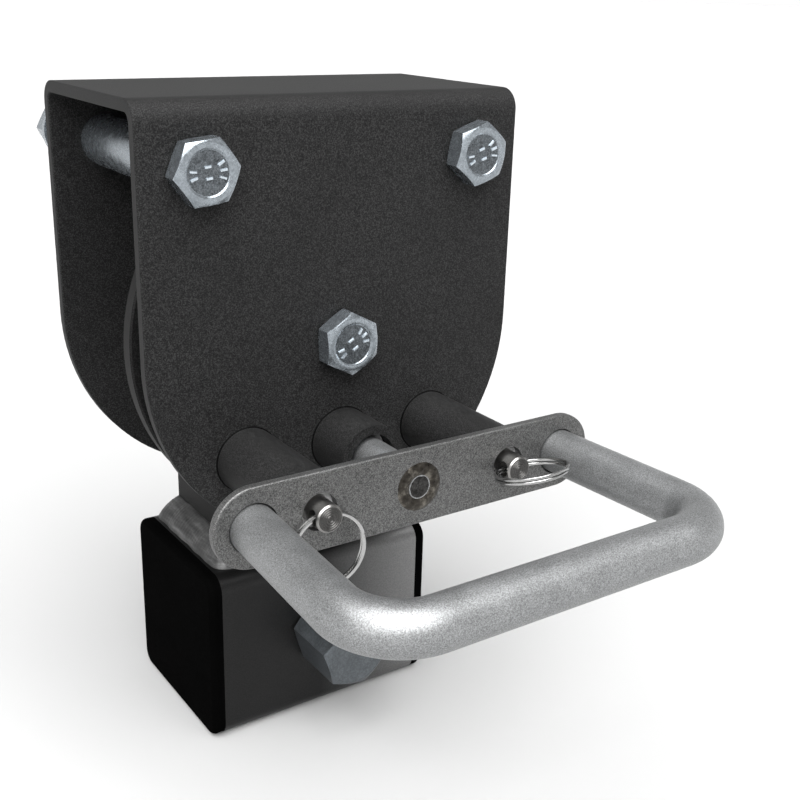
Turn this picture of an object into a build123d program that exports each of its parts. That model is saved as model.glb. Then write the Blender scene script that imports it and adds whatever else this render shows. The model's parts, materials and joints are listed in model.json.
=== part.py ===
"""Indexing swivel lock for a trailer coupling, in millimetres.

A bent channel housing hangs on a pivot axle over a carriage made of a cross tube, a hollow neck and
an index disc. Two sprung lock pins in the housing's bosses drop into holes in the disc. Pulling the
bar handle along -Y draws both pins by their split rings, and a centre rod guides the handle.

Frame: origin at the centre of the cross tube's underside, +Z up, -Y the way the handle is pulled.
"""

import os
from math import cos, radians, sqrt

from build123d import *

# ---------------------------------------------------------------- driving dimensions
# pivot and housing
AXLE_Z = 150.0  # height of the pivot axle above the underside
HOUSING_WIDTH = 140.0  # X; the cheeks' lower ends are half circles of this diameter
HOUSING_DEPTH = 78.0  # Y, outside
HOUSING_RISE = 80.0  # axle to the top of the web
SHEET = 4.0
BEND_RADIUS = 7.0  # outside radius of the two bends
EDGE_ROUND = 0.6  # cut edges under the coating
FRONT_Y = -43.5  # outer face of the front cheek

# cross tube
TUBE_SIDE = 65.0
TUBE_WALL = 4.0
TUBE_LENGTH = 83.0
TUBE_CORNER = 6.0
STUD_Z = 34.5
CAP_FLANGE = 4.5
CAP_PLUG = 12.0

# neck, pivot bush and index disc
NECK_WIDTH = 64.0
NECK_DEPTH = 45.0
NECK_WALL = 5.5
NECK_SHOULDER = 35.0  # height of the neck's straight sides
BUSH_RADIUS = 18.5
LINER_RADIUS = 11.0
LINER_LENGTH = 20.0
DISC_RADIUS = 68.0
DISC_THICKNESS = 6.0
DISC_GAP = 13.0  # inner face of the front cheek to the disc
LOCK_PCD = 102.0
LOCK_COUNT = 4
WELD_LEG = 7.0  # in front of and behind the neck
WELD_SIDE_LEG = 9.0
WELD_HEIGHT = 9.0

# fasteners: M12 for the housing, M16 for the cross tube
M12 = 12.0
M12_FLATS = 19.0
M12_HEAD = 7.5
M12_NUT = 10.8
M12_WASHER_RADIUS = 12.0
M12_WASHER = 2.5
M16 = 16.0
M16_FLATS = 24.0
M16_TALL_NUT = 24.0
TALL_NUT_BORE = 18.0
M16_NUT = 14.0
M16_WASHER_RADIUS = 15.0
M16_WASHER = 3.0
STUD_REACH = 40.0  # free thread behind the cross tube's nut
STUD_GROOVE = 1.5
TOP_BOLT_X = 50.5
TOP_BOLT_RISE = 59.5  # above the axle
TOP_BOLT_LENGTH = 120.0
AXLE_BOLT_LENGTH = 96.0
SLEEVE_RADIUS = 9.0
SLEEVE_LENGTH = 100.0
AXLE_SLEEVE_RADIUS = 8.0

# lock pins, bosses and springs
PIN_RADIUS = 4.5
PIN_REACH = 18.0  # pin nose beyond the inner face of the front cheek
PIN_STICKOUT = 6.0  # pin end in front of the handle plate
COLLAR_RADIUS = 7.7
COLLAR_LENGTH = 3.0
BOSS_RADIUS = 11.0
BOSS_BORE = 8.0
BOSS_LENGTH = 43.7
GUIDE_LENGTH = 6.0
SPRING_WIRE = 1.5
SPRING_RADIUS = 6.6  # to the middle of the wire
SPRING_TURNS = 9
ROD_RADIUS = 6.5
ROD_BOSS_RADIUS = 11.5
ROD_BOSS_BORE = 8.3
ROD_BOSS_LENGTH = 20.0
ROD_BUSH_LENGTH = 14.0
ROD_REACH = 10.0  # rod beyond the inner face of the front cheek

# handle and split rings
PLATE_THICKNESS = 3.0
PLATE_GAP = 0.3  # handle plate to the bosses
PLATE_HALF_LENGTH = 71.0
PLATE_RADIUS = 13.0
BAR_RADIUS = 7.5
ARM_X = 58.0  # arm centres at the plate
GRIP_X = 62.5  # arm centres at the grip: the arms splay a little
GRIP_REACH = 70.0  # plate's front face to the grip's centre line
GRIP_BEND = 18.0
SPIGOT_RADIUS = 4.0
PLATE_PIN_HOLE = 6.1  # radius of the plate's hole round each lock pin
RING_MEAN_RADIUS = 11.7
RING_WIRE = 1.2
RING_COILS = 2.2  # both coils together
RING_HOLE = 2.5  # radius of the cross hole in each lock pin
RING_HOLE_GAP = 2.6  # handle plate to the cross hole
RING_DROP = 11.25  # cross hole to the ring's centre

RUNNING = 0.1  # radial clearance of moving fits
LOCK_CLEARANCE = 0.3

# ---------------------------------------------------------------- derived places
FRONT_INNER_Y = FRONT_Y + SHEET
BACK_Y = FRONT_Y + HOUSING_DEPTH
BACK_INNER_Y = BACK_Y - SHEET
DISC_Y = FRONT_INNER_Y + DISC_GAP
NECK_Y = DISC_Y + DISC_THICKNESS
NECK_BACK_Y = NECK_Y + NECK_DEPTH
LOCK_X = LOCK_PCD / 2 * cos(radians(45))
LOCK_Z = AXLE_Z - LOCK_X
BOSS_FRONT_Y = FRONT_Y - BOSS_LENGTH
PLATE_BACK_Y = BOSS_FRONT_Y - PLATE_GAP
PLATE_FRONT_Y = PLATE_BACK_Y - PLATE_THICKNESS
PIN_END_Y = PLATE_FRONT_Y - PIN_STICKOUT
RING_HOLE_Y = PLATE_FRONT_Y - RING_HOLE_GAP
COLLAR_FRONT_Y = FRONT_Y - 1.0 - COLLAR_LENGTH
TOP_BOLT_Z = AXLE_Z + TOP_BOLT_RISE
SLEEVE_END_Y = FRONT_INNER_Y + SLEEVE_LENGTH
TUBE_BACK_Y = TUBE_SIDE / 2
SIDES = {"left": -1, "right": 1}
LOCK_PLACES = [(side * LOCK_X, LOCK_Z) for side in SIDES.values()]
TOP_PLACES = [(side * TOP_BOLT_X, TOP_BOLT_Z) for side in SIDES.values()]

pieces = {}


def face_plane(y):
    """A plane at y whose local x, y are +X, +Z and whose normal points along -Y."""
    return Plane(origin=(0, y, 0), x_dir=(1, 0, 0), z_dir=(0, -1, 0))


def hexagon(flats, height, turn, both_ends=False):
    """A hexagon block along -Y from y = 0, its corners turned down by a 30 degree chamfer."""
    corner = flats / sqrt(3)
    rim = flats / 2 * 0.95
    drop = (corner - rim) * 0.577
    with BuildPart() as block:
        with BuildSketch(face_plane(0)):
            RegularPolygon(corner, 6, rotation=turn)
        extrude(amount=height)
        with BuildSketch(Plane.XY):
            with BuildLine():
                if both_ends:
                    Polyline((0, 0), (rim, 0), (corner, -drop), (corner, drop - height), (rim, -height))
                else:
                    Polyline((0, 0), (corner, 0), (corner, drop - height), (rim, -height))
                Line((rim, -height), (0, -height))
                Line((0, -height), (0, 0))
            make_face()
        revolve(axis=Axis.Y, mode=Mode.INTERSECT)
    return block.part


def finish(name, part):
    """Label a finished piece and keep it for export."""
    part.label = name
    pieces[name] = part


# ---------------------------------------------------------------- carriage
with BuildPart() as cross_tube:
    with BuildSketch(Plane.YZ.offset(-TUBE_LENGTH / 2)):
        with Locations((0, TUBE_SIDE / 2)):
            RectangleRounded(TUBE_SIDE, TUBE_SIDE, TUBE_CORNER)
            inner = TUBE_SIDE - 2 * TUBE_WALL
            RectangleRounded(inner, inner, TUBE_CORNER - TUBE_WALL, mode=Mode.SUBTRACT)
    extrude(amount=TUBE_LENGTH)
    with BuildSketch(face_plane(TUBE_BACK_Y)):
        with Locations((0, STUD_Z)):
            Circle(M16 / 2 + 0.5)
    extrude(amount=TUBE_SIDE, mode=Mode.SUBTRACT)
finish("cross_tube", cross_tube.part)

for side_name, side in SIDES.items():
    end_plane = Plane(
        origin=(side * TUBE_LENGTH / 2, 0, TUBE_SIDE / 2), x_dir=(0, 1, 0), z_dir=(side, 0, 0)
    )
    plug_side = TUBE_SIDE - 2 * TUBE_WALL - 1.0
    with BuildPart() as end_cap:
        with BuildSketch(end_plane):
            RectangleRounded(TUBE_SIDE, TUBE_SIDE, TUBE_CORNER)
        extrude(amount=CAP_FLANGE)
        outer_edges = end_cap.faces().sort_by(Axis.X)[-1 if side > 0 else 0].edges()
        fillet(outer_edges, 2.0)
        with BuildSketch(end_plane):
            RectangleRounded(plug_side, plug_side, 2.0)
            RectangleRounded(plug_side - 6, plug_side - 6, 1.0, mode=Mode.SUBTRACT)
        extrude(amount=-CAP_PLUG)
        # two grip ribs round the plug
        for depth in (4.0, 8.0):
            with BuildSketch(end_plane.offset(-depth)):
                RectangleRounded(plug_side + 0.8, plug_side + 0.8, 2.2)
                RectangleRounded(plug_side - 6, plug_side - 6, 1.0, mode=Mode.SUBTRACT)
            extrude(amount=-1.2)
    finish(f"end_cap_{side_name}", end_cap.part)

# the neck is a bent band: straight sides on the tube, drawn in round the pivot bush
with BuildPart() as neck:
    with BuildSketch(face_plane(NECK_BACK_Y)) as neck_outline:
        with Locations((0, AXLE_Z)):
            Circle(BUSH_RADIUS + NECK_WALL)
        with Locations((0, TUBE_SIDE + NECK_SHOULDER / 2)):
            Rectangle(NECK_WIDTH, NECK_SHOULDER)
        make_hull()
        offset(amount=-NECK_WALL, mode=Mode.SUBTRACT)
    extrude(amount=NECK_DEPTH)
finish("neck", neck.part)

WELD_WIDTH = NECK_WIDTH + 2 * WELD_SIDE_LEG
WELD_DEPTH = NECK_DEPTH + 2 * WELD_LEG
NECK_MIDDLE_Y = (NECK_Y + NECK_BACK_Y) / 2
with BuildPart() as neck_weld:
    with BuildSketch(Plane.XY.offset(TUBE_SIDE)):
        with Locations((0, NECK_MIDDLE_Y)):
            RectangleRounded(WELD_WIDTH, WELD_DEPTH, WELD_LEG)
    with BuildSketch(Plane.XY.offset(TUBE_SIDE + WELD_HEIGHT)):
        with Locations((0, NECK_MIDDLE_Y)):
            RectangleRounded(NECK_WIDTH + 1, NECK_DEPTH + 1, 0.5)
    loft()
    # below the tube's flat top the bead follows the rounded back corner
    with BuildSketch(Plane.XY.offset(TUBE_SIDE)):
        with Locations((0, NECK_MIDDLE_Y)):
            RectangleRounded(WELD_WIDTH, WELD_DEPTH, WELD_LEG)
    extrude(amount=-TUBE_CORNER)
    with BuildSketch(Plane.YZ.offset(-TUBE_LENGTH / 2)):
        with Locations((0, TUBE_SIDE / 2)):
            RectangleRounded(TUBE_SIDE, TUBE_SIDE, TUBE_CORNER)
    extrude(amount=TUBE_LENGTH, mode=Mode.SUBTRACT)
    with BuildSketch(Plane.XY.offset(TUBE_SIDE - TUBE_CORNER)):
        with Locations((0, NECK_MIDDLE_Y)):
            Rectangle(NECK_WIDTH, NECK_DEPTH)
    extrude(amount=WELD_HEIGHT + TUBE_CORNER, mode=Mode.SUBTRACT)
finish("neck_weld", neck_weld.part)

with BuildPart() as pivot_bush:
    with BuildSketch(face_plane(NECK_BACK_Y)):
        with Locations((0, AXLE_Z)):
            Circle(BUSH_RADIUS)
            Circle(LINER_RADIUS, mode=Mode.SUBTRACT)
    extrude(amount=NECK_DEPTH + DISC_THICKNESS)
finish("pivot_bush", pivot_bush.part)

with BuildPart() as bush_liners:
    for start in (NECK_BACK_Y, DISC_Y + LINER_LENGTH):
        with BuildSketch(face_plane(start)):
            with Locations((0, AXLE_Z)):
                Circle(LINER_RADIUS)
                Circle(AXLE_SLEEVE_RADIUS + RUNNING, mode=Mode.SUBTRACT)
        extrude(amount=LINER_LENGTH)
finish("bush_liners", bush_liners.part)

with BuildPart() as index_disc:
    with BuildSketch(face_plane(NECK_Y)):
        with Locations((0, AXLE_Z)):
            Circle(DISC_RADIUS)
            Circle(BUSH_RADIUS, mode=Mode.SUBTRACT)
            with PolarLocations(LOCK_PCD / 2, LOCK_COUNT, start_angle=45):
                Circle(PIN_RADIUS + LOCK_CLEARANCE, mode=Mode.SUBTRACT)
    extrude(amount=DISC_THICKNESS)
    rim_edges = index_disc.edges().filter_by(GeomType.CIRCLE).group_by(SortBy.RADIUS)[-1]
    chamfer(rim_edges, 0.6)
finish("index_disc", index_disc.part)

# the mounting stud runs through the cross tube and stands free behind its back nut
tall_nut_block = hexagon(M16_FLATS, M16_TALL_NUT, 47.0, both_ends=True)
back_nut_block = hexagon(M16_FLATS, M16_NUT, 0.0, both_ends=True)
STUD_FRONT_Y = -TUBE_BACK_Y - TALL_NUT_BORE
STUD_BACK_Y = TUBE_BACK_Y + M16_WASHER + M16_NUT + STUD_REACH
with BuildPart() as mounting_stud:
    with BuildSketch(face_plane(STUD_BACK_Y)):
        with Locations((0, STUD_Z)):
            Circle(M16 / 2)
    extrude(amount=STUD_BACK_Y - STUD_FRONT_Y)
    chamfer(mounting_stud.edges().filter_by(GeomType.CIRCLE), 1.5)
    # a shallow groove marks where the free thread starts
    with BuildSketch(face_plane(STUD_BACK_Y - STUD_REACH + STUD_GROOVE)):
        with Locations((0, STUD_Z)):
            Circle(M16 / 2 + 1)
            Circle(M16 / 2 - 0.8, mode=Mode.SUBTRACT)
    extrude(amount=STUD_GROOVE, mode=Mode.SUBTRACT)
finish("mounting_stud", mounting_stud.part)

with BuildPart() as stud_nut_tall:
    with Locations((0, -TUBE_BACK_Y, STUD_Z)):
        add(tall_nut_block)
    # its front end is closed
    with BuildSketch(face_plane(-TUBE_BACK_Y)):
        with Locations((0, STUD_Z)):
            Circle(M16 / 2)
    extrude(amount=TALL_NUT_BORE, mode=Mode.SUBTRACT)
finish("stud_nut_tall", stud_nut_tall.part)

with BuildPart() as stud_washer:
    with BuildSketch(face_plane(TUBE_BACK_Y + M16_WASHER)):
        with Locations((0, STUD_Z)):
            Circle(M16_WASHER_RADIUS)
            Circle(M16 / 2, mode=Mode.SUBTRACT)
    extrude(amount=M16_WASHER)
finish("stud_washer", stud_washer.part)

with BuildPart() as stud_nut_back:
    with Locations((0, TUBE_BACK_Y + M16_WASHER + M16_NUT, STUD_Z)):
        add(back_nut_block)
    with BuildSketch(face_plane(TUBE_BACK_Y + M16_WASHER + M16_NUT)):
        with Locations((0, STUD_Z)):
            Circle(M16 / 2)
    extrude(amount=M16_NUT, mode=Mode.SUBTRACT)
finish("stud_nut_back", stud_nut_back.part)

# ---------------------------------------------------------------- housing
with BuildPart() as housing_channel:
    section_height = HOUSING_RISE + HOUSING_WIDTH
    with BuildSketch(Plane.YZ.offset(-HOUSING_WIDTH / 2)):
        with Locations(((FRONT_Y + BACK_Y) / 2, AXLE_Z + HOUSING_RISE - section_height / 2)):
            RectangleRounded(HOUSING_DEPTH, section_height, BEND_RADIUS)
            RectangleRounded(
                HOUSING_DEPTH - 2 * SHEET, section_height - 2 * SHEET, BEND_RADIUS - SHEET, mode=Mode.SUBTRACT
            )
    extrude(amount=HOUSING_WIDTH)
    # both cheeks end in a half circle about the axle
    with BuildSketch(face_plane(BACK_Y)):
        with Locations((0, AXLE_Z)):
            Circle(HOUSING_WIDTH / 2)
            Rectangle(HOUSING_WIDTH, HOUSING_RISE, align=(Align.CENTER, Align.MIN))
    extrude(amount=HOUSING_DEPTH, mode=Mode.INTERSECT)
    with BuildSketch(face_plane(FRONT_INNER_Y)):
        with Locations((0, AXLE_Z), *TOP_PLACES):
            Circle(M12 / 2 + 0.25)
        with Locations(*LOCK_PLACES):
            Circle(PIN_RADIUS + RUNNING)
        with Locations((0, LOCK_Z)):
            Circle(ROD_RADIUS + LOCK_CLEARANCE)
    extrude(amount=SHEET, mode=Mode.SUBTRACT)
    with BuildSketch(face_plane(BACK_Y)):
        with Locations((0, AXLE_Z)):
            Circle(M12 / 2 + 0.25)
        with Locations(*TOP_PLACES):
            Circle(SLEEVE_RADIUS)
    extrude(amount=SHEET, mode=Mode.SUBTRACT)
    side_edges = housing_channel.edges().filter_by(lambda edge: abs(edge.center().X) > HOUSING_WIDTH / 2 - 1)
    outline_arcs = (
        housing_channel.edges()
        .filter_by(GeomType.CIRCLE)
        .filter_by(lambda edge: abs(edge.radius - HOUSING_WIDTH / 2) < 1)
    )
    fillet(side_edges + outline_arcs, EDGE_ROUND)
finish("housing_channel", housing_channel.part)


def tube_along_y(name, places, outer, bore, back_y, length):
    """Make a named piece of round tubes (or rings) along Y at the given X, Z places."""
    with BuildPart() as tube:
        with BuildSketch(face_plane(back_y)):
            with Locations(*places):
                Circle(outer)
                Circle(bore, mode=Mode.SUBTRACT)
        extrude(amount=length)
    finish(name, tube.part)


def bolts(name, places, turns, length):
    """Make M12 hexagon bolts whose heads bear on the front cheek."""
    with BuildPart() as bolt:
        for place, turn in zip(places, turns):
            head = hexagon(M12_FLATS, M12_HEAD, turn)
            with Locations((place[0], FRONT_Y, place[1])):
                add(head)
            with BuildSketch(face_plane(FRONT_Y + length)):
                with Locations(place):
                    Circle(M12 / 2)
            extrude(amount=length)
        tips = bolt.edges().filter_by(GeomType.CIRCLE).group_by(Axis.Y)[-1]
        chamfer(tips, 1.2)
    finish(name, bolt.part)


def nuts(name, places, back_y):
    """Make M12 nuts whose outer faces are at back_y."""
    block = hexagon(M12_FLATS, M12_NUT, 0.0, both_ends=True)
    with BuildPart() as nut:
        for place in places:
            with Locations((place[0], back_y, place[1])):
                add(block)
        with BuildSketch(face_plane(back_y)):
            with Locations(*places):
                Circle(M12 / 2)
        extrude(amount=M12_NUT, mode=Mode.SUBTRACT)
    finish(name, nut.part)


# fasteners of the housing
AXLE_PLACE = [(0, AXLE_Z)]
bolts("top_bolts", TOP_PLACES, (7.0, 19.0), TOP_BOLT_LENGTH)
tube_along_y("spacer_sleeves", TOP_PLACES, SLEEVE_RADIUS, M12 / 2 + 0.25, SLEEVE_END_Y, SLEEVE_LENGTH)
tube_along_y("top_washers", TOP_PLACES, M12_WASHER_RADIUS, M12 / 2, SLEEVE_END_Y + M12_WASHER, M12_WASHER)
nuts("top_nuts", TOP_PLACES, SLEEVE_END_Y + M12_WASHER + M12_NUT)
bolts("axle_bolt", AXLE_PLACE, (32.0,), AXLE_BOLT_LENGTH)
tube_along_y("axle_washer", AXLE_PLACE, M12_WASHER_RADIUS, M12 / 2, BACK_Y + M12_WASHER, M12_WASHER)
nuts("axle_nut", AXLE_PLACE, BACK_Y + M12_WASHER + M12_NUT)
tube_along_y(
    "axle_sleeve", AXLE_PLACE, AXLE_SLEEVE_RADIUS, M12 / 2, BACK_INNER_Y, HOUSING_DEPTH - 2 * SHEET
)
tube_along_y(
    "front_spacer_ring", AXLE_PLACE, BUSH_RADIUS, AXLE_SLEEVE_RADIUS, DISC_Y - 0.2, DISC_GAP - 0.2
)
tube_along_y(
    "rear_spacer_ring",
    AXLE_PLACE,
    BUSH_RADIUS,
    AXLE_SLEEVE_RADIUS,
    BACK_INNER_Y,
    BACK_INNER_Y - NECK_BACK_Y - 0.2,
)

# bosses on the front cheek: two long ones for the lock pins, a short one for the handle's guide rod
for side_name, place in zip(SIDES, LOCK_PLACES):
    tube_along_y(f"boss_{side_name}", [place], BOSS_RADIUS, BOSS_BORE, FRONT_Y, BOSS_LENGTH)
    tube_along_y(
        f"pin_guide_{side_name}",
        [place],
        BOSS_BORE,
        PIN_RADIUS + RUNNING,
        BOSS_FRONT_Y + GUIDE_LENGTH,
        GUIDE_LENGTH,
    )
ROD_PLACE = [(0, LOCK_Z)]
tube_along_y("boss_centre", ROD_PLACE, ROD_BOSS_RADIUS, ROD_BOSS_BORE, FRONT_Y, ROD_BOSS_LENGTH)
tube_along_y("rod_bush", ROD_PLACE, ROD_BOSS_BORE, ROD_RADIUS + RUNNING, FRONT_Y, ROD_BUSH_LENGTH)

# pin springs, from the collar to the guide
spring_start = COLLAR_FRONT_Y - SPRING_WIRE / 2
spring_length = spring_start - (BOSS_FRONT_Y + GUIDE_LENGTH) - SPRING_WIRE / 2
for side_name, place in zip(SIDES, LOCK_PLACES):
    with BuildPart() as pin_spring:
        with BuildLine() as coil:
            Helix(
                pitch=spring_length / SPRING_TURNS,
                height=spring_length,
                radius=SPRING_RADIUS,
                center=(place[0], spring_start, place[1]),
                direction=(0, -1, 0),
            )
        with BuildSketch(Plane(origin=coil.line @ 0, z_dir=coil.line % 0)):
            Circle(SPRING_WIRE / 2)
        sweep(is_frenet=True)
    finish(f"pin_spring_{side_name}", pin_spring.part)

# ---------------------------------------------------------------- lock pins and their split rings
PIN_NOSE_Y = FRONT_INNER_Y + PIN_REACH
for side_name, place in zip(SIDES, LOCK_PLACES):
    with BuildPart() as lock_pin:
        with BuildSketch(face_plane(PIN_NOSE_Y)):
            with Locations(place):
                Circle(PIN_RADIUS)
        extrude(amount=PIN_NOSE_Y - PIN_END_Y)
        pin_ends = lock_pin.edges().filter_by(GeomType.CIRCLE).sort_by(Axis.Y)
        chamfer(pin_ends[-1], 1.5)
        chamfer(pin_ends[0], 0.5)
        with BuildSketch(Plane.YZ.offset(place[0] - 2 * PIN_RADIUS)):
            with Locations((RING_HOLE_Y, LOCK_Z)):
                Circle(RING_HOLE)
        extrude(amount=4 * PIN_RADIUS, mode=Mode.SUBTRACT)
    finish(f"lock_pin_{side_name}", lock_pin.part)
    tube_along_y(
        f"pin_collar_{side_name}", [place], COLLAR_RADIUS, PIN_RADIUS, FRONT_Y - 1.0, COLLAR_LENGTH
    )


def split_ring(name, hole, out, axis, lean, yaw, slide):
    """Make a two-coil key ring in the cross hole; a shallow groove shows where the coils meet.

    out points from the hole to the ring's centre and axis is the ring's axis. Both lean about X, then
    the ring yaws about out and slides round through the hole, all within the hole's play.
    """
    out, axis = Vector(*out).rotate(Axis.X, lean), Vector(*axis).rotate(Axis.X, lean)
    axis = axis.rotate(Axis((0, 0, 0), out), yaw)
    out = out.rotate(Axis((0, 0, 0), axis), slide)
    centre = Vector(*hole) + out * RING_DROP
    half = RING_COILS / 2
    inner = RING_MEAN_RADIUS - RING_WIRE / 2
    outer = RING_MEAN_RADIUS + RING_WIRE / 2
    with BuildPart() as ring:
        # the section's local x runs outward and its local y along the ring's axis
        with BuildSketch(Plane(origin=centre, x_dir=out, z_dir=out.cross(axis))):
            with BuildLine():
                Polyline(
                    (inner, -half),
                    (outer, -half),
                    (outer, -0.2),
                    (outer - 0.25, 0),
                    (outer, 0.2),
                    (outer, half),
                    (inner, half),
                    close=True,
                )
            make_face()
        revolve(axis=Axis(centre, axis))
    finish(name, ring.part)


# the left ring hangs; the right one stands out along the pull, a little raised
LEFT_HOLE, RIGHT_HOLE = [(x, RING_HOLE_Y, z) for x, z in LOCK_PLACES]
split_ring("split_ring_left", LEFT_HOLE, (0, 0, -1), (0, -1, 0), lean=-3, yaw=6, slide=5)
split_ring("split_ring_right", RIGHT_HOLE, (0, -1, 0), (0, 0, 1), lean=-14, yaw=4, slide=-6)

# ---------------------------------------------------------------- handle
with BuildPart() as handle_plate:
    with BuildSketch(face_plane(PLATE_BACK_Y)):
        with Locations((0, LOCK_Z)):
            SlotOverall(2 * PLATE_HALF_LENGTH, 2 * PLATE_RADIUS)
            Circle(SPIGOT_RADIUS, mode=Mode.SUBTRACT)
        with Locations(*LOCK_PLACES):
            Circle(PLATE_PIN_HOLE, mode=Mode.SUBTRACT)
        with Locations((-ARM_X, LOCK_Z), (ARM_X, LOCK_Z)):
            Circle(BAR_RADIUS + 0.5, mode=Mode.SUBTRACT)
    extrude(amount=PLATE_THICKNESS)
    outlines = [handle_plate.faces().sort_by(Axis.Y)[end].outer_wire().edges() for end in (0, -1)]
    fillet(outlines[0] + outlines[1], EDGE_ROUND)
finish("handle_plate", handle_plate.part)

GRIP_Y = PLATE_FRONT_Y - GRIP_REACH
with BuildPart() as handle_bar:
    with BuildLine() as bar_path:
        FilletPolyline(
            (-ARM_X, PLATE_BACK_Y, LOCK_Z),
            (-GRIP_X, GRIP_Y, LOCK_Z),
            (GRIP_X, GRIP_Y, LOCK_Z),
            (ARM_X, PLATE_BACK_Y, LOCK_Z),
            radius=GRIP_BEND,
        )
    with BuildSketch(Plane(origin=bar_path.line @ 0, z_dir=bar_path.line % 0)):
        Circle(BAR_RADIUS)
    sweep()
    # trim the splayed arms flush with the plate's back face
    with BuildSketch(face_plane(PLATE_BACK_Y + BAR_RADIUS)):
        with Locations((0, LOCK_Z)):
            Rectangle(3 * ARM_X, 4 * BAR_RADIUS)
    extrude(amount=BAR_RADIUS, mode=Mode.SUBTRACT)
finish("handle_bar", handle_bar.part)

# the arms pass the plate with a small gap all round and are welded to it behind
with BuildPart() as arm_welds:
    for arm_x in (-ARM_X, ARM_X):
        with BuildSketch(Plane(origin=(arm_x, PLATE_BACK_Y, LOCK_Z), x_dir=(1, 0, 0), z_dir=(0, 0, 1))):
            with BuildLine():
                Polyline((0, 0), (BAR_RADIUS + 1.8, 0), (BAR_RADIUS - 2, 1.8), (0, 1.8), close=True)
            make_face()
        revolve(axis=Axis((arm_x, 0, LOCK_Z), (0, 1, 0)))
finish("arm_welds", arm_welds.part)

ROD_END_Y = FRONT_INNER_Y + ROD_REACH
with BuildPart() as guide_rod:
    with BuildSketch(face_plane(ROD_END_Y)):
        with Locations((0, LOCK_Z)):
            Circle(ROD_RADIUS)
    extrude(amount=ROD_END_Y - PLATE_BACK_Y)
    chamfer(guide_rod.edges().filter_by(GeomType.CIRCLE).sort_by(Axis.Y)[-1], 1.0)
    with BuildSketch(face_plane(PLATE_BACK_Y)):
        with Locations((0, LOCK_Z)):
            Circle(SPIGOT_RADIUS)
    extrude(amount=PLATE_THICKNESS + 0.3)
finish("guide_rod", guide_rod.part)

with BuildPart() as plug_weld:
    with BuildSketch(Plane(origin=(0, PLATE_FRONT_Y, LOCK_Z), x_dir=(1, 0, 0), z_dir=(0, 0, 1))):
        with BuildLine():
            Polyline((SPIGOT_RADIUS, 0), (8.5, 0), (7.6, -0.7), (5.4, -0.9), (SPIGOT_RADIUS, -0.3), close=True)
        make_face()
    revolve(axis=Axis((0, 0, LOCK_Z), (0, 1, 0)))
finish("plug_weld", plug_weld.part)

# ---------------------------------------------------------------- export
os.makedirs("parts", exist_ok=True)
for piece_name, piece in pieces.items():
    export_step(piece, f"parts/{piece_name}.step")
print(len(pieces), "pieces")
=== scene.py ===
import json
from math import cos, pi, radians, sin, sqrt, tau

import bmesh
import bpy
from mathutils import Matrix, Vector, noise


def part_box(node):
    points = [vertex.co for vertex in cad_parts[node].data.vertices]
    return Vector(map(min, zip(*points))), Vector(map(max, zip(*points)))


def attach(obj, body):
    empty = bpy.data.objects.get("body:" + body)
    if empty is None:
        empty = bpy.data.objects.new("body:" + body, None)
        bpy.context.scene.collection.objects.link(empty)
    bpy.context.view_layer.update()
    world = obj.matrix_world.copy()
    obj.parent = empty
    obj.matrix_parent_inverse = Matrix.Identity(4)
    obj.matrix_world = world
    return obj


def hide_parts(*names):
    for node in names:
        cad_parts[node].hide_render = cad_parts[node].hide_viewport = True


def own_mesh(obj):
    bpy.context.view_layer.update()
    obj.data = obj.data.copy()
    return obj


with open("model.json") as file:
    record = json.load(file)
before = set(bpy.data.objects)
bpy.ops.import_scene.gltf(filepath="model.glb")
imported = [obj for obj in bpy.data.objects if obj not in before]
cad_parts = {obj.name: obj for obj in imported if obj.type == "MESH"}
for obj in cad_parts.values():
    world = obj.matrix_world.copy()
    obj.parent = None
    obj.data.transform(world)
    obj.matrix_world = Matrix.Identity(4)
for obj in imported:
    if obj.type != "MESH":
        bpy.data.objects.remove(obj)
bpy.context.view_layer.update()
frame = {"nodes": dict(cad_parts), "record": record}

scene = bpy.context.scene
nodes = frame["nodes"]
MM = 0.001

# Sizes in mm that the pieces below share with the CAD.
TOP_BOLT_X = 50.5  # each side of the middle
ARM_X = 58.0  # the handle's arms, each side of the middle
M12_RADIUS, M12_PITCH, M12_THREAD_DEPTH = 6.0, 1.75, 0.95
M16_RADIUS, M16_PITCH, M16_THREAD_DEPTH = 8.0, 2.0, 1.1
M12_HEAD_FLATS, M12_HEAD_HEIGHT = 19.0, 7.5
M16_NUT_FLATS = 24.0


# ---------------------------------------------------------------- camera, light and floor
CAMERA_AZIMUTH, CAMERA_ELEVATION, CAMERA_ROLL = 34.79, 19.81, 1.68  # degrees
CAMERA_PLACE = (-0.19357, -0.35721, 0.26142)


def make_camera():
    azimuth, elevation, roll = radians(CAMERA_AZIMUTH), radians(CAMERA_ELEVATION), radians(CAMERA_ROLL)
    ahead = Vector((sin(azimuth) * cos(elevation), cos(azimuth) * cos(elevation), -sin(elevation)))
    level = Vector((cos(azimuth), -sin(azimuth), 0))
    upright = level.cross(ahead)
    right = level * cos(roll) + upright * sin(roll)
    up = upright * cos(roll) - level * sin(roll)
    data = bpy.data.cameras.new("camera")
    data.sensor_width, data.lens = 36.0, 51.4
    data.clip_start, data.clip_end = 0.01, 100.0
    camera = bpy.data.objects.new("camera", data)
    scene.collection.objects.link(camera)
    rotation = Matrix((right, up, -ahead)).transposed()
    camera.matrix_world = Matrix.Translation(CAMERA_PLACE) @ rotation.to_4x4()
    scene.camera = camera


def area_light(name, place, target, size, power):
    """A soft rectangular light aimed at a target."""
    data = bpy.data.lights.new(name, "AREA")
    data.shape, data.size, data.size_y = "RECTANGLE", size[0], size[1]
    data.energy = power
    light = bpy.data.objects.new(name, data)
    scene.collection.objects.link(light)
    light.location = place
    light.rotation_euler = (Vector(target) - Vector(place)).to_track_quat("-Z", "Y").to_euler()


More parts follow.
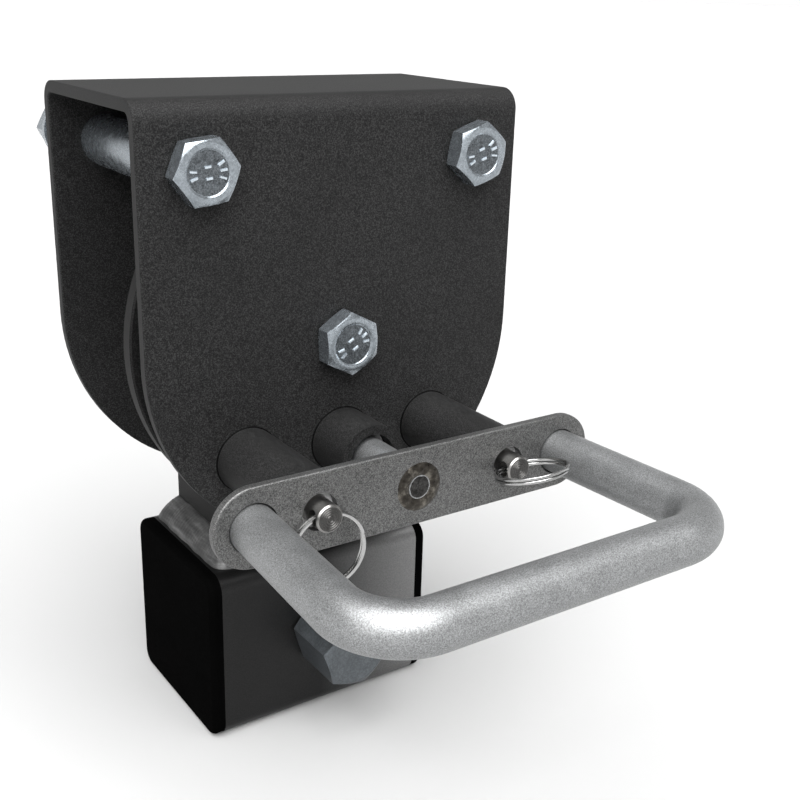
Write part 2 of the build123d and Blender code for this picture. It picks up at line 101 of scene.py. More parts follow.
def sun_light(name, travel, strength, angle):
    """A soft sun; travel is the direction that its light goes in."""
    data = bpy.data.lights.new(name, "SUN")
    data.energy, data.angle = strength, radians(angle)
    light = bpy.data.objects.new(name, data)
    scene.collection.objects.link(light)
    light.rotation_euler = Vector(travel).to_track_quat("-Z", "Y").to_euler()


def make_studio():
    """Soft light from the upper front left, a pale dome and a pale floor."""
    sun_light("key", (0.25, 0.5, -1.0), 8.4, 72)
    area_light("front_left", (-1.2, -0.9, 0.75), (0, -0.05, 0.12), (0.6, 0.9), 4)
    # a dim dome that brightens to the floor's white at the horizon
    world = bpy.data.worlds.new("studio")
    world.use_nodes = True
    tree = world.node_tree
    direction = tree.nodes.new("ShaderNodeTexCoord").outputs["Generated"]
    split = tree.nodes.new("ShaderNodeSeparateXYZ")
    fade = tree.nodes.new("ShaderNodeMapRange")
    fade.inputs["From Min"].default_value, fade.inputs["From Max"].default_value = 0.08, 0.42
    fade.inputs["To Min"].default_value, fade.inputs["To Max"].default_value = 1.0, 0.3
    tree.links.new(direction, split.inputs["Vector"])
    tree.links.new(split.outputs["Z"], fade.inputs["Value"])
    tree.links.new(fade.outputs["Result"], tree.nodes["Background"].inputs["Strength"])
    tree.nodes["Background"].inputs["Color"].default_value = (1, 1, 1, 1)
    scene.world = world
    scene.view_settings.view_transform = "Standard"

    mesh = bpy.data.meshes.new("floor")
    reach = 40.0
    mesh.from_pydata(
        [(-reach, -reach, 0), (reach, -reach, 0), (reach, reach, 0), (-reach, reach, 0)], [], [(0, 1, 2, 3)]
    )
    floor = bpy.data.objects.new("floor", mesh)
    scene.collection.objects.link(floor)
    floor.location.z = -0.0002
    make = Shader("floor_pale")
    make.set(Roughness=1.0, Specular_IOR_Level=0.0)
    make.colour(make.noise(1.5, 2), ((0.3, grey(0.4)), (0.7, grey(0.41))))
    mesh.materials.append(make.material)


# ---------------------------------------------------------------- materials
class Shader:
    """A principled material and short ways to wire procedural detail into it."""

    def __init__(self, name):
        self.material = bpy.data.materials.new(name)
        self.material.use_nodes = True
        self.tree = self.material.node_tree
        self.bsdf = self.tree.nodes["Principled BSDF"]
        self.coords = self.tree.nodes.new("ShaderNodeTexCoord").outputs["Object"]

    def set(self, **values):
        """Sets constants on the shader; an underscore in a key stands for a space."""
        for key, value in values.items():
            self.bsdf.inputs[key.replace("_", " ")].default_value = value

    def link(self, source, target):
        self.tree.links.new(source, target)

    def stretch(self, factors):
        """Object coordinates scaled along X, Y, Z, to draw a texture out along one axis."""
        node = self.tree.nodes.new("ShaderNodeMapping")
        node.inputs["Scale"].default_value = factors
        self.link(self.coords, node.inputs["Vector"])
        return node.outputs["Vector"]

    def noise(self, scale, detail=3, roughness=0.5, coords=None):
        """A noise texture's value, 0 to 1, gathered about 0.5."""
        node = self.tree.nodes.new("ShaderNodeTexNoise")
        node.inputs["Scale"].default_value = scale
        node.inputs["Detail"].default_value = detail
        node.inputs["Roughness"].default_value = roughness
        self.link(coords or self.coords, node.inputs["Vector"])
        return node.outputs["Fac"]

    def ramp(self, value, stops):
        """A colour from a value, by (place, colour) stops."""
        node = self.tree.nodes.new("ShaderNodeValToRGB")
        ramp = node.color_ramp
        while len(ramp.elements) < len(stops):
            ramp.elements.new(0.5)
        for element, (place, colour) in zip(ramp.elements, stops):
            element.position = place
            element.color = (*colour, 1)
        self.link(value, node.inputs["Fac"])
        return node.outputs["Color"]

    def spread(self, value, low, high, start=0.3, end=0.7):
        """A value from start to end mapped to low to high."""
        node = self.tree.nodes.new("ShaderNodeMapRange")
        for key, number in zip(("From Min", "From Max", "To Min", "To Max"), (start, end, low, high)):
            node.inputs[key].default_value = number
        self.link(value, node.inputs["Value"])
        return node.outputs["Result"]

    def multiply(self, first, second):
        """The product of two colours."""
        node = self.tree.nodes.new("ShaderNodeMix")
        node.data_type, node.blend_type = "RGBA", "MULTIPLY"
        node.inputs["Factor"].default_value = 1.0
        for name, source in (("A", first), ("B", second)):
            self.link(source, next(s for s in node.inputs if s.name == name and s.type == "RGBA"))
        return next(s for s in node.outputs if s.type == "RGBA")

    def colour(self, value, stops):
        self.link(self.ramp(value, stops), self.bsdf.inputs["Base Color"])

    def roughness(self, value, low, high):
        self.link(self.spread(value, low, high), self.bsdf.inputs["Roughness"])

    def bump(self, value, depth, strength=1.0):
        """Adds relief of the given depth in metres on top of any earlier relief."""
        node = self.tree.nodes.new("ShaderNodeBump")
        node.inputs["Distance"].default_value = depth
        node.inputs["Strength"].default_value = strength
        self.link(value, node.inputs["Height"])
        if self.bsdf.inputs["Normal"].links:
            self.link(self.bsdf.inputs["Normal"].links[0].from_socket, node.inputs["Normal"])
        self.link(node.outputs["Normal"], self.bsdf.inputs["Normal"])


def grey(level, tint=(1, 1, 1)):
    return tuple(level * t for t in tint)


def powder_coat(name, level, specular):
    """Black powder coat: a fine orange-peel grain with painted pale glints in its colour, and slow changes
    of tone.
    """
    make = Shader(name)
    make.set(Metallic=0.0, Specular_IOR_Level=specular)
    fine = make.noise(3000, 2, 0.6)
    broad = make.noise(26, 3)
    tones = make.multiply(
        # the grain's brightest specks are painted glints
        make.ramp(fine, ((0.36, grey(level * 0.2)), (0.5, grey(level)), (0.62, grey(level * 3.2)))),
        make.ramp(broad, ((0.3, grey(0.8)), (0.7, grey(1.0)))),
    )
    make.link(tones, make.bsdf.inputs["Base Color"])
    make.roughness(fine, 0.5, 0.7)
    make.bump(make.noise(2200, 2, 0.5), 0.00004, 0.8)
    return make.material


def plated(
    name, level, tint, rough, speckle, metallic=1.0, relief=0.00003, mottle=60, grain=1300, patch=0.86
):
    """Plated or galvanised steel: broad mottling, fine speckle and a little relief.

    level and tint give the mean colour and speckle its fine contrast. rough is the roughness range. mottle
    and grain are the broad and the fine noise scale. patch is the darkest mottling, and relief is in metres.
    """
    make = Shader(name)
    make.set(Metallic=metallic)
    fine = make.noise(grain, 3, 0.65)
    broad = make.noise(mottle, 5, 0.6)
    tones = make.multiply(
        make.ramp(
            fine,
            (
                (0.32, grey(level * (1 - speckle), tint)),
                (0.5, grey(level, tint)),
                (0.66, grey(level * (1 + speckle), tint)),
            ),
        ),
        make.ramp(broad, ((0.3, grey(patch)), (0.7, grey(1.0)))),
    )
    make.link(tones, make.bsdf.inputs["Base Color"])
    make.roughness(broad, rough[0], rough[1])
    make.bump(fine, relief, 0.7)
    return make.material


def moulded_plastic(name, level, specular=0.3, rough=(0.38, 0.55)):
    """Matte moulded plastic with a fine grain."""
    make = Shader(name)
    make.set(Metallic=0.0, Specular_IOR_Level=specular)
    grain = make.noise(900, 3)
    make.colour(make.noise(40, 4), ((0.3, grey(level * 0.8)), (0.7, grey(level * 1.25))))
    make.roughness(grain, rough[0], rough[1])
    make.bump(grain, 0.00005, 0.6)
    return make.material


def weld_metal(name, stops, rough, metallic, streaks=(1, 1, 1)):
    """Weld metal in uneven tones, which streaks can draw out along an axis."""
    make = Shader(name)
    make.set(Metallic=metallic)
    patches = make.noise(220, 5, 0.65, make.stretch(streaks))
    make.colour(patches, stops)
    make.roughness(make.noise(500, 3), rough[0], rough[1])
    make.bump(make.noise(900, 4, 0.6), 0.00008, 0.7)
    return make.material


def tube_metal_painted_shade(name, low, high):
    """The cross tube's dull plating, with painted shade that darkens it towards its left end."""
    make = Shader(name)
    make.set(Metallic=0.85)
    split = make.tree.nodes.new("ShaderNodeSeparateXYZ")
    make.link(make.coords, split.inputs["Vector"])
    # painted shade: the colour runs from dark at the tube's left end to lighter at its right
    along = make.spread(split.outputs["X"], 0.0, 1.0, -0.035, 0.04)
    fine = make.noise(2300, 2, 0.6)
    tones = make.multiply(
        make.ramp(along, ((0.0, grey(low)), (0.45, grey(low * 1.3)), (1.0, grey(high)))),
        make.ramp(fine, ((0.35, grey(0.75)), (0.65, grey(1.0)))),
    )
    make.link(tones, make.bsdf.inputs["Base Color"])
    make.roughness(make.noise(35, 4), 0.38, 0.52)
    make.bump(fine, 0.00003, 0.7)
    return make.material


BLUE = (0.88, 0.97, 1.05)
WARM = (1.02, 1.0, 0.97)
# one look for each CAD material slot, and some more for details
looks = {
    "black_steel": powder_coat("powder_coat_black", 0.0095, 0.17),
    # the disc_steel parts get the same black powder coat made darker, as painted shade inside the housing
    "disc_steel": powder_coat("powder_coat_disc_shaded", 0.005, 0.15),
    # near-black coat for the rings of painted shade round the bosses
    "seam": powder_coat("seam_shadow", 0.0015, 0.05),
    "galvanised": plated(
        "galvanised", 0.27, (0.98, 1, 1.01), (0.4, 0.5), 0.45, 0.8, 0.00005, mottle=120, grain=2700
    ),
    "tube": tube_metal_painted_shade("galvanised_tube", 0.024, 0.22),
    "weld": weld_metal(
        "weld_plated",
        ((0.3, grey(0.04)), (0.55, grey(0.09)), (0.75, grey(0.2))),
        (0.35, 0.55),
        0.8,
        (0.4, 0.25, 2.2),
    ),
    "burnt_weld": weld_metal(
        "weld_burnt",
        ((0.34, (0.014, 0.012, 0.01)), (0.52, (0.05, 0.045, 0.038)), (0.7, (0.2, 0.185, 0.16))),
        (0.22, 0.45),
        0.9,
    ),
    "spigot": plated("spigot_ground", 0.05, WARM, (0.35, 0.5), 0.6, grain=1500, mottle=300, patch=0.6),
    "plate_steel": plated(
        "plate_speckled", 0.12, (1, 1, 0.99), (0.4, 0.52), 0.75, 0.8, 0.00004, grain=3000
    ),
    "zinc": plated("zinc_blue", 0.36, BLUE, (0.18, 0.32), 0.2, 0.85, mottle=420, patch=0.75),
    # a darker zinc for the bolts' sunk faces: painted shade in the recesses
    "zinc_dish_painted_shade": plated(
        "zinc_dish_painted_shade", 0.16, BLUE, (0.2, 0.36), 0.6, 0.9, 0.00006, mottle=500, grain=2200, patch=0.5
    ),
    # a brighter zinc for the raised ticks: painted highlight
    "zinc_mark_painted_highlight": plated("zinc_mark_painted_highlight", 0.7, BLUE, (0.12, 0.22), 0.1, 0.9, mottle=300),
    "zinc_dull": plated("zinc_dull", 0.12, BLUE, (0.3, 0.42), 0.2, 0.7, mottle=200, patch=0.75),
    "bright_steel": plated("turned_steel", 0.3, WARM, (0.24, 0.38), 0.14, grain=2300),
    # a darker copy of the turned steel for the pins' end faces: painted shade
    "turned_face_painted_shade": plated("turned_face_painted_shade", 0.09, WARM, (0.32, 0.46), 0.3, grain=2300),
    "nickel": plated("nickel_bright", 0.5, (1, 1, 0.99), (0.14, 0.24), 0.08, relief=0.000008),
    "black_plastic": moulded_plastic("cap_plastic", 0.0012, 0.0012, (0.5, 0.65)),
    "liner_plastic": moulded_plastic("liner_plastic", 0.5),
}


def dress_nodes():
    """Gives each CAD node the look of its slot, or a closer one."""
    slots = {entry["node"]: entry["material_slot"] for entry in frame["record"]["subparts"]}
    special = {"cross_tube": "tube", "guide_rod": "galvanised"}
    for name, obj in nodes.items():
        material = looks[special.get(name, slots[name])]
        obj.data.materials.clear()
        obj.data.materials.append(material)


# ---------------------------------------------------------------- mesh helpers
def around(centre, radius, angle, y):
    """A point in mm at an angle about the line along Y through centre (x, z)."""
    return Vector((centre[0] + radius * cos(angle), y, centre[1] + radius * sin(angle)))


def on_axis(centre, y):
    return Vector((centre[0], y, centre[1]))


def vertex(bm, point):
    """A new vertex at a point in mm."""
    return bm.verts.new(point * MM)


def piece(name, bm, look, body, stands_for=(), sharp=35):
    """Turns a bmesh into a piece of the model, with edges sharper than the angle kept crisp."""
    bmesh.ops.recalc_face_normals(bm, faces=bm.faces)
    for face in bm.faces:
        face.smooth = True
    for edge in bm.edges:
        edge.smooth = edge.calc_face_angle(0) < radians(sharp)
    mesh = bpy.data.meshes.new(name)
    bm.to_mesh(mesh)
    bm.free()
    mesh.materials.append(looks[look])
    obj = bpy.data.objects.new(name, mesh)
    scene.collection.objects.link(obj)
    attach(obj, body)
    if stands_for:
        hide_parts(*stands_for)
    return obj


def join_rings(bm, rings, closed=True):
    """Faces between successive rings of vertices; a ring of one vertex is a pole."""
    for first, second in zip(rings, rings[1:]):
        count = max(len(first), len(second))
        last = count if closed else count - 1
        for k in range(last):
            after = (k + 1) % count
            if len(first) == 1:
                bm.faces.new((first[0], second[k], second[after]))
            elif len(second) == 1:
                bm.faces.new((first[k], second[0], first[after]))
            else:
                bm.faces.new((first[k], second[k], second[after], first[after]))


def lathe(bm, centre, profile, count=72, shift=None):
    """Revolves (radius, y) points in mm about the line along Y through centre (x, z) in mm."""
    rings = []
    for radius, y in profile:
        ring = []
        steps = 1 if radius == 0 else count
        for k in range(steps):
            angle = tau * k / steps
            point = around(centre, radius, angle, y)
            if shift:
                point += shift(radius, angle)
            ring.append(vertex(bm, point))
        rings.append(ring)
    join_rings(bm, rings)


def hexagon_reach(angle, turn, flats):
    """Distance from a hexagon's centre to its side at an angle, both in degrees."""
    return flats / 2 / cos(radians((angle - turn) % 60 - 30))


def hexagon_block(bm, centre, front_y, height, flats, turn, dish, count=96):
    """A bolt head facing -Y: turned chamfer, face dished by (radius, depth) and round bearing face."""
    rim = flats / 2 * 0.95
    dish_radius, dish_depth = dish
    # (radius, depth) of the face's rows, from its middle to its rim
    rows = [
        (0, dish_depth),
        (dish_radius - 0.5, dish_depth),
        (dish_radius, 0.05),
        (dish_radius + 0.25, 0),
        (rim - 0.25, 0),
        (rim, 0.06),
    ]
    rings = []
    for radius, depth in rows:
        steps = 1 if radius == 0 else count
        rings.append(
            [
                vertex(bm, around(centre, radius, radians(turn + 360 * k / steps), front_y + depth))
                for k in range(steps)
            ]
        )
    foot = front_y + height
    chamfer, side, toe, face, back = [], [], [], [], []
    for k in range(count):
        degrees_round = turn + 360 * k / count
        angle = radians(degrees_round)
        reach = hexagon_reach(degrees_round, turn, flats)
        chamfer.append((reach, angle, front_y + (reach - rim) * 0.577 + 0.06))
        side.append((reach, angle, foot - 0.5 - (reach - flats / 2) * 0.3))
        toe.append((flats / 2 * 0.985, angle, foot - 0.35))
        face.append((flats / 2 * 0.95, angle, foot - 0.35))
        back.append((flats / 2 * 0.95, angle, foot))
    for level in (chamfer, side, toe, face, back):
        rings.append([vertex(bm, around(centre, *spot)) for spot in level])
    rings.append([vertex(bm, on_axis(centre, foot))])
    join_rings(bm, rings)


def threaded_rod(bm, centre, start_y, end_y, radius, pitch, depth, taper=1.2, count=48):
    """A closed rod along Y with a V thread from start to end and a taper at the end."""
    steps_per_turn = 8
    rows = int((end_y - start_y) / pitch * steps_per_turn)
    rings = [[vertex(bm, on_axis(centre, start_y))]]
    for row in range(rows + 1):
        y = start_y + (end_y - start_y) * row / rows
        ring = []
        for k in range(count):
            phase = (row / steps_per_turn + k / count) % 1
            groove = depth * max(0.0, min(1.0, abs(2 * phase - 1) * 1.3 - 0.15))
            reach = radius - groove
            reach = min(reach, radius - taper + (end_y - y), radius - depth + (y - start_y) * 2)
            ring.append(vertex(bm, around(centre, reach, tau * k / count, y)))
        rings.append(ring)
    rings.append([vertex(bm, on_axis(centre, end_y))])
    join_rings(bm, rings)


def bar_mark(bm, place, along, length, width, height):
    """A small raised bar with sloping sides on a face that looks along -Y; place is its foot's middle."""
    across = Vector((-along[2], 0, along[0]))
    top_length = length / 2 - width * 0.2  # half the top's length
    top_share = 0.62  # the top's width as a share of the foot's
    rise = Vector((0, -height, 0))
    lower, upper = [], []
    for end, side in ((-1, -1), (1, -1), (1, 1), (-1, 1)):
        foot = place + along * end * length / 2 + across * side * width / 2
        top = place + along * end * top_length + across * side * width / 2 * top_share + rise
        lower.append(vertex(bm, foot))
        upper.append(vertex(bm, top))
    join_rings(bm, [lower, upper])
    bm.faces.new(upper)
    bm.faces.new(lower)


# ---------------------------------------------------------------- bolts, nuts and stud
def span(node):
    """A CAD node's lowest and highest corners in mm."""
    low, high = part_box(node)
    return low / MM, high / MM


def middle(node):
    """The (x, z) of the middle of a CAD node's box in mm."""
    low, high = span(node)
    return (low.x + high.x) / 2, (low.z + high.z) / 2


TICK_LEVEL = 0.47  # depth of the ticks' feet under the head's rim
THREAD_LENGTH = 26
LAP = 0.2  # the thread's start inside the plain shank


def make_bolts():
    """The housing's bolts with dished heads and threads, and neutral ticks on the sunk faces."""
    head_y = span("top_bolts")[0].y
    top_z = middle("top_bolts")[1]
    axle_z = middle("axle_bolt")[1]
    face_y = head_y + M12_HEAD_HEIGHT
    head = dict(height=M12_HEAD_HEIGHT, flats=M12_HEAD_FLATS, dish=(7.3, 0.45))
    # each bolt's centre (x, z) and the turn of its head in degrees
    bolts = (
        ("top_bolts", (((-TOP_BOLT_X, top_z), 7.0), ((TOP_BOLT_X, top_z), 19.0))),
        ("axle_bolt", (((0.0, axle_z), 32.0),)),
    )
    for node, places in bolts:
        end_y = span(node)[1].y
        plain_end = end_y - THREAD_LENGTH
        shank = ((0, face_y), (M12_RADIUS, face_y), (M12_RADIUS, plain_end), (0, plain_end))
        bm = bmesh.new()
        for centre, turn in places:
            hexagon_block(bm, centre, head_y, turn=turn, **head)
            lathe(bm, centre, shank, 64)
            threaded_rod(bm, centre, plain_end - LAP, end_y, M12_RADIUS, M12_PITCH, M12_THREAD_DEPTH)
        piece(f"{node}_detail", bm, "zinc", "housing", (node,), sharp=28)

        bm = bmesh.new()
        for centre, turn in places:
            foot = on_axis(centre, head_y + TICK_LEVEL)
            # a fan of three ticks, and two opposite
            for offset, count in ((0, 3), (180, 2)):
                for k in range(count):
                    angle = radians(turn + offset + (k - (count - 1) / 2) * 26)
                    along = Vector((cos(angle), 0, sin(angle)))
                    bar_mark(bm, foot + along * 4.9, along, 2.6, 0.95, 0.5)
            # two ticks near the middle
            bar = Vector((cos(radians(turn + 90)), 0, sin(radians(turn + 90))))
            for side in (-1, 1):
                bar_mark(bm, foot + bar * side * 1.7, Vector((bar.z, 0, -bar.x)), 2.4, 0.9, 0.5)
        # the ticks take a brighter zinc than the heads: painted highlight on the raised marks
        piece(f"{node}_ticks", bm, "zinc_mark_painted_highlight", "housing", sharp=40)

        # the sunk faces are a little rougher and much darker than the rims: the darkness is painted shade in
        # the recesses
        bm = bmesh.new()
        front, back = head_y + 0.42, head_y + 0.5
        for centre, _ in places:
            lathe(bm, centre, ((0, front), (6.7, front), (6.7, back), (0, back)), 72)
        piece(f"{node}_sunk_faces", bm, "zinc_dish_painted_shade", "housing", sharp=40)


def make_stud():
    """The stud through the cross tube, threaded from inside its back nut to its free end."""
    low, high = span("mounting_stud")
    centre = (0.0, (low.z + high.z) / 2)
    thread_start = span("stud_nut_back")[1].y - 8
    shank = (
        (0, low.y),
        (M16_RADIUS - 0.6, low.y),
        (M16_RADIUS, low.y + 0.6),
        (M16_RADIUS, thread_start),
        (0, thread_start),
    )
    bm = bmesh.new()
    lathe(bm, centre, shank, 64)
    threaded_rod(
        bm, centre, thread_start - LAP, high.y, M16_RADIUS, M16_PITCH, M16_THREAD_DEPTH, taper=1.5
    )
    piece("mounting_stud_detail", bm, "zinc", "carriage", ("mounting_stud",), sharp=28)


def make_tall_nut():
    """The tall closed nut on the cross tube, with a turned chamfer and a faint turned ring on its face."""
    low, high = span("stud_nut_tall")
    centre = (0.0, middle("mounting_stud")[1])
    bm = bmesh.new()
    hexagon_block(bm, centre, low.y, high.y - low.y, M16_NUT_FLATS, 47.0, (10.2, 0.12), count=120)
    piece("stud_nut_tall_detail", bm, "zinc_dull", "carriage", ("stud_nut_tall",), sharp=28)


# ---------------------------------------------------------------- split rings
RING_RADIUS = 11.7  # to the wire's middle
RING_SECTION, RING_STACK = 0.58, 0.48  # half the wire's width and half its thickness
RING_LEVEL = 0.6  # each coil's height from the ring's middle plane
RING_TURNS, RING_JOG = 2.0, 26  # coils, and the degrees in which the wire changes level, each way
# how each ring lies in its pin: the way out of the hole, the ring's axis, the lean about X and the yaw about
# the way out, both in degrees
RING_LIES = {
    "left": ((0, 0, -1), (0, -1, 0), -3, 6),
    "right": ((0, -1, 0), (0, 0, 1), -14, 4),
}
# where the wire's first end shows, in degrees round each ring from the side nearest the pin
RING_ENDS = {"left": 75, "right": 150}


def make_split_ring(side):
    """Two coils of flat wire wound from one piece, with both ends showing."""
    node = f"split_ring_{side}"
    out, axis, lean, yaw = RING_LIES[side]
    tilt = Matrix.Rotation(radians(lean), 3, "X")
    out, axis = tilt @ Vector(out), tilt @ Vector(axis)
    axis = Matrix.Rotation(radians(yaw), 3, out) @ axis
    across = axis.cross(out)
    low, high = span(node)
    centre = (low + high) / 2
    steps, section_steps = 300, 16
    rings = []
    bm = bmesh.new()
    for step in range(steps + 1):
        share = step / steps
        angle = radians(RING_ENDS[side]) + tau * RING_TURNS * share
        # the wire stays on one level for a turn and crosses to the other in a short jog
        jog = max(-1.0, min(1.0, (share - 0.5) * RING_TURNS * 360 / RING_JOG))
        level = RING_LEVEL * sin(jog * pi / 2)
        outward = across * sin(angle) - out * cos(angle)
        end_taper = min(1.0, 0.35 + min(share, 1 - share) * 60)
        ring = []
        for k in range(section_steps):
            c, s = cos(tau * k / section_steps), sin(tau * k / section_steps)
            # a rounded rectangle section
            reach = 1 / (abs(c) ** 4 + abs(s) ** 4) ** 0.25
            spot = centre + outward * (RING_RADIUS + RING_SECTION * reach * c)
            spot += axis * (level + RING_STACK * reach * s * end_taper)
            ring.append(vertex(bm, spot))
        rings.append(ring)
    join_rings(bm, rings)
    bm.faces.new(rings[0])
    bm.faces.new(rings[-1])
    piece(f"{node}_detail", bm, "nickel", f"{side}_ring", (node,), sharp=50)


# ---------------------------------------------------------------- pins and springs
RIDGE_RADII = (1.0, 1.85, 2.6, 3.3)
SPRING_WIRE_RADIUS, SPRING_RADIUS, SPRING_TURNS = 0.72, 6.6, 9


def make_pin_ends():
    """Turned ridges on the lock pins' outer faces, in a darker steel than the pins' sides: painted shade."""
    for side in ("left", "right"):
        node = f"lock_pin_{side}"
        face_y = span(node)[0].y - 0.02
        profile = [(0, face_y - 0.2), (0.35, face_y - 0.14), (0.6, face_y)]
        for radius in RIDGE_RADII:
            profile += [(radius - 0.2, face_y), (radius, face_y - 0.16), (radius + 0.2, face_y)]
        profile += [(3.9, face_y), (3.95, face_y + 0.1), (0, face_y + 0.12)]
        bm = bmesh.new()
        lathe(bm, middle(node), profile, 64)
        piece(f"pin_end_{side}", bm, "turned_face_painted_shade", f"{side}_pin", sharp=20)


def make_springs():
    """Pin springs with closed end coils, each with a mesh of its own."""
    wire = SPRING_WIRE_RADIUS
    steps, section_steps = SPRING_TURNS * 36, 10
    for side in ("left", "right"):
        node = f"pin_spring_{side}"
        low, high = span(node)
        centre = middle(node)
        first, last = low.y + wire, high.y - wire
        bm = bmesh.new()
        rings = []
        for step in range(steps + 1):
            share = step / steps
            angle = tau * SPRING_TURNS * share
            # the end coils lie flat
            eased = share - sin(tau * share) / tau * 0.35
            outward = Vector((cos(angle), 0, sin(angle)))
            spot = on_axis(centre, first + (last - first) * eased) + outward * SPRING_RADIUS
            ring = []
            for k in range(section_steps):
                turn = tau * k / section_steps
                ring.append(
                    vertex(bm, spot + outward * wire * cos(turn) + Vector((0, wire * sin(turn), 0)))
                )
            rings.append(ring)
        join_rings(bm, rings)
        bm.faces.new(rings[0])
        bm.faces.new(rings[-1])
        spring = piece(f"{node}_detail", bm, "bright_steel", "housing", (node,))
        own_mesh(spring)


# ---------------------------------------------------------------- welds
def rough_shift(strength, scale, seed):
    """A random but repeatable offset in mm for a point in mm."""

    def offset(point):
        return noise.noise(point * scale + Vector((seed, seed * 0.37, -seed))) * strength

    return offset


def make_neck_weld():
    """A rippled fillet bead right round the neck's foot on the cross tube."""
    low, high = span("neck")
    tube = span("cross_tube")[1]
    tube_top, tube_half = tube.z, tube.y
    reach_x = tube.x - 0.6
    leg, side_leg, height = 6.4, 8.6, 8.6  # front and back, left and right, and up the neck
    corner, ripple = 6.0, 1.75  # the tube's corner radius and the ripples' spacing
    corner_steps, run_step = 12, 0.35
    waver = rough_shift(0.5, 0.16, 3.0)
    pebble = rough_shift(0.16, 0.9, 7.0)
    # the path round the foot: straight runs and quarter turns about each corner
    runs = []
    corners = [(high.x, low.y, -90), (high.x, high.y, 0), (low.x, high.y, 90), (low.x, low.y, 180)]
    for (x, y, turn), (next_x, next_y, _) in zip(corners, corners[1:] + corners[:1]):
        for k in range(corner_steps):
            angle = radians(turn + 90 * k / corner_steps)
            advance = leg * 0.6 * radians(90) / corner_steps
            runs.append((Vector((x, y, 0)), Vector((cos(angle), sin(angle), 0)), advance))
        length = sqrt((next_x - x) ** 2 + (next_y - y) ** 2)
        angle = radians(turn + 90)
        steps = int(length / run_step)
        for k in range(steps):
            spot = Vector((x, y, 0)).lerp(Vector((next_x, next_y, 0)), k / steps)
            runs.append((spot, Vector((cos(angle), sin(angle), 0)), length / steps))
    rings = []
    bm = bmesh.new()
    travelled = 0.0
    rows = 12
    for foot, outward, advance in runs:
        travelled += advance
        ring = []
        sway = waver(foot + outward * 3)
        size = Vector((leg + (side_leg - leg) * outward.x**2 + sway, height - 0.4 + sway))
        for row in range(rows + 1):
            share = row / rows
            arc = Vector((sin(share * pi / 2), cos(share * pi / 2)))
            flat = Vector((share, 1 - share))
            section = flat.lerp(arc, 0.3)
            section = Vector((section.x * size.x, section.y * size.y))
            crescent = travelled / ripple + 0.55 * (1 - (2 * share - 1) ** 2)
            lift = 0.12 * abs(sin(pi * crescent)) * sin(pi * share)
            section += Vector((0.7, 0.7)) * lift
            spot = foot + outward * (section.x - 0.1)
            spot.x = max(-reach_x, min(reach_x, spot.x))
            # the toe follows the tube's rounded corners
            past = abs(spot.y) - (tube_half - corner)
            base = tube_top
            if past > 0:
                base = tube_top - corner + sqrt(max(0.0, corner**2 - min(past, corner) ** 2))
            if row == rows:
                spot.z = base - 0.4
            else:
                grain = pebble(foot + outward * section.x * 2) * sin(pi * share)
                spot.z = base + (tube_top - base) * (1 - share) + section.y + grain
            ring.append(vertex(bm, spot))
        # close the section inside the neck's foot
        inner = foot - outward * 1.5
        ring.append(vertex(bm, Vector((inner.x, inner.y, tube_top - 0.4))))
        ring.append(vertex(bm, Vector((inner.x, inner.y, tube_top + size.y - 0.2))))
        rings.append(ring)
    rings.append(rings[0])
    join_rings(bm, rings)
    piece("neck_weld_bead", bm, "weld", "carriage", ("neck_weld",), sharp=60)


def ring_bead(bm, centre, y, inner, outer, height, facing, seed, ripple_count):
    """A round weld bead on a face at y; facing is -1 towards the front and +1 towards the back."""
    rough = rough_shift(0.25, 0.8, seed)
    rows, count = 10, 120
    rings = []
    for row in range(rows + 1):
        share = row / rows
        swell = sin(pi * (0.12 + 0.88 * share))
        ring = []
        for k in range(count):
            angle = tau * k / count
            wave = abs(sin(ripple_count * angle / 2 + share * 1.5))
            way = Vector((cos(angle), 0, sin(angle)))
            radius = inner + (outer - inner) * share
            wobble = rough(on_axis(centre, y) + way * radius)
            radius += wobble * (0.6 if row == rows else 0.3)
            rise = height * swell * (0.75 + 0.25 * wave) + wobble * 0.5 * sin(pi * share)
            if row == rows:
                rise = -0.1
            ring.append(vertex(bm, on_axis(centre, y + facing * rise) + way * radius))
        rings.append(ring)
    for radius in (outer - 0.3, inner):
        rings.append(
            [vertex(bm, around(centre, radius, tau * k / count, y - facing * 0.1)) for k in range(count)]
        )
    rings.append(rings[0])
    join_rings(bm, rings)


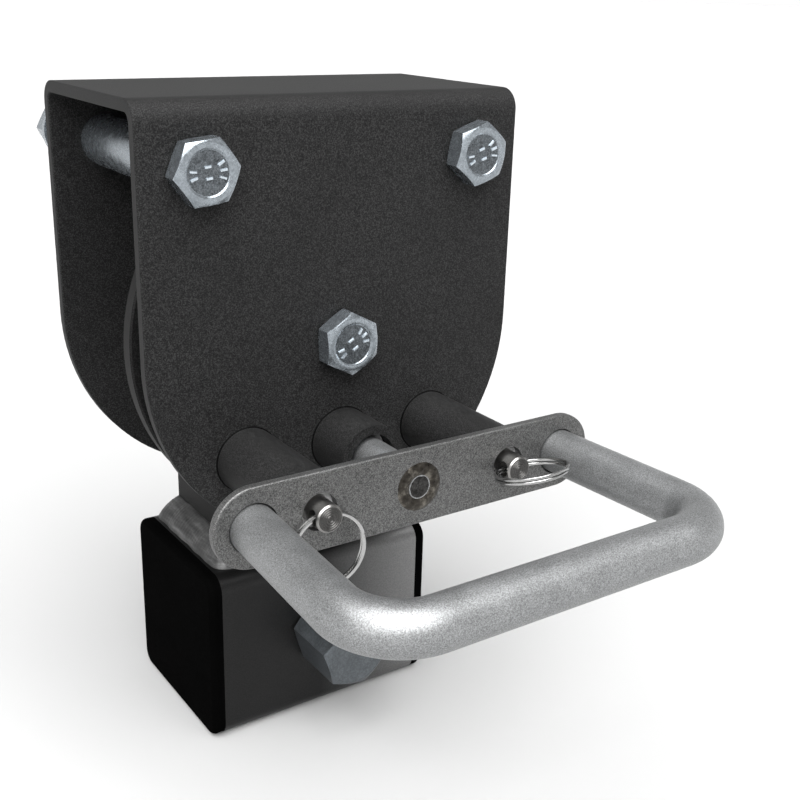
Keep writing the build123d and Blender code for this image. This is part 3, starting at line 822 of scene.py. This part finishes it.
def make_handle_welds():
    """The arms' beads behind the plate, and the plug weld in the plate with the rod's end inside it."""
    plate_low, plate_high = span("handle_plate")
    centre_z = (plate_low.z + plate_high.z) / 2
    bm = bmesh.new()
    for arm_x in (-ARM_X, ARM_X):
        ring_bead(bm, (arm_x, centre_z), plate_high.y, 3.0, 9.2, 1.6, 1, arm_x, 22)
    piece("arm_weld_beads", bm, "weld", "handle", ("arm_welds",), sharp=60)
    bm = bmesh.new()
    centre = (0.0, centre_z)
    ring_bead(bm, centre, plate_low.y, 3.9, 8.3, 0.7, -1, 5.0, 9)
    piece("plug_weld_bead", bm, "burnt_weld", "handle", ("plug_weld",), sharp=60)
    # the rod's spigot end inside the bead, ground nearly flush
    end = plate_low.y - 0.5
    rough = rough_shift(0.12, 0.9, 9.0)
    profile = (
        (0, end),
        (1.5, end - 0.03),
        (2.6, end),
        (3.3, end + 0.05),
        (3.8, end + 0.3),
        (3.8, end + 0.5),
        (0, end + 0.5),
    )

    def ground(radius, angle):
        return Vector((0, rough(Vector((radius * cos(angle), 0, radius * sin(angle)))), 0))

    bm = bmesh.new()
    lathe(bm, centre, profile, 72, ground)
    piece("spigot_end", bm, "spigot", "handle", sharp=40)


def make_boss_seam_shades():
    """A narrow near-black ring where each boss meets the cheek: painted shade standing in for the shadow in
    the joint.
    """
    face_y = span("housing_channel")[0].y
    for node in ("boss_left", "boss_right", "boss_centre"):
        low, high = span(node)
        radius = (high.x - low.x) / 2
        profile = (
            (radius - 0.2, face_y + 0.1),
            (radius - 0.2, face_y - 0.55),
            (radius + 0.1, face_y - 0.4),
            (radius + 0.4, face_y - 0.1),
            (radius + 0.45, face_y + 0.1),
            (radius - 0.2, face_y + 0.1),
        )
        bm = bmesh.new()
        lathe(bm, middle(node), profile, 96)
        bmesh.ops.remove_doubles(bm, verts=bm.verts, dist=1e-7)
        piece(f"{node}_seam", bm, "seam", "housing", sharp=60)


# ---------------------------------------------------------------- run
make_camera()
make_studio()
dress_nodes()
make_bolts()
make_stud()
make_tall_nut()
for ring_side in ("left", "right"):
    make_split_ring(ring_side)
make_pin_ends()
make_springs()
make_neck_weld()
make_handle_welds()
make_boss_seam_shades()
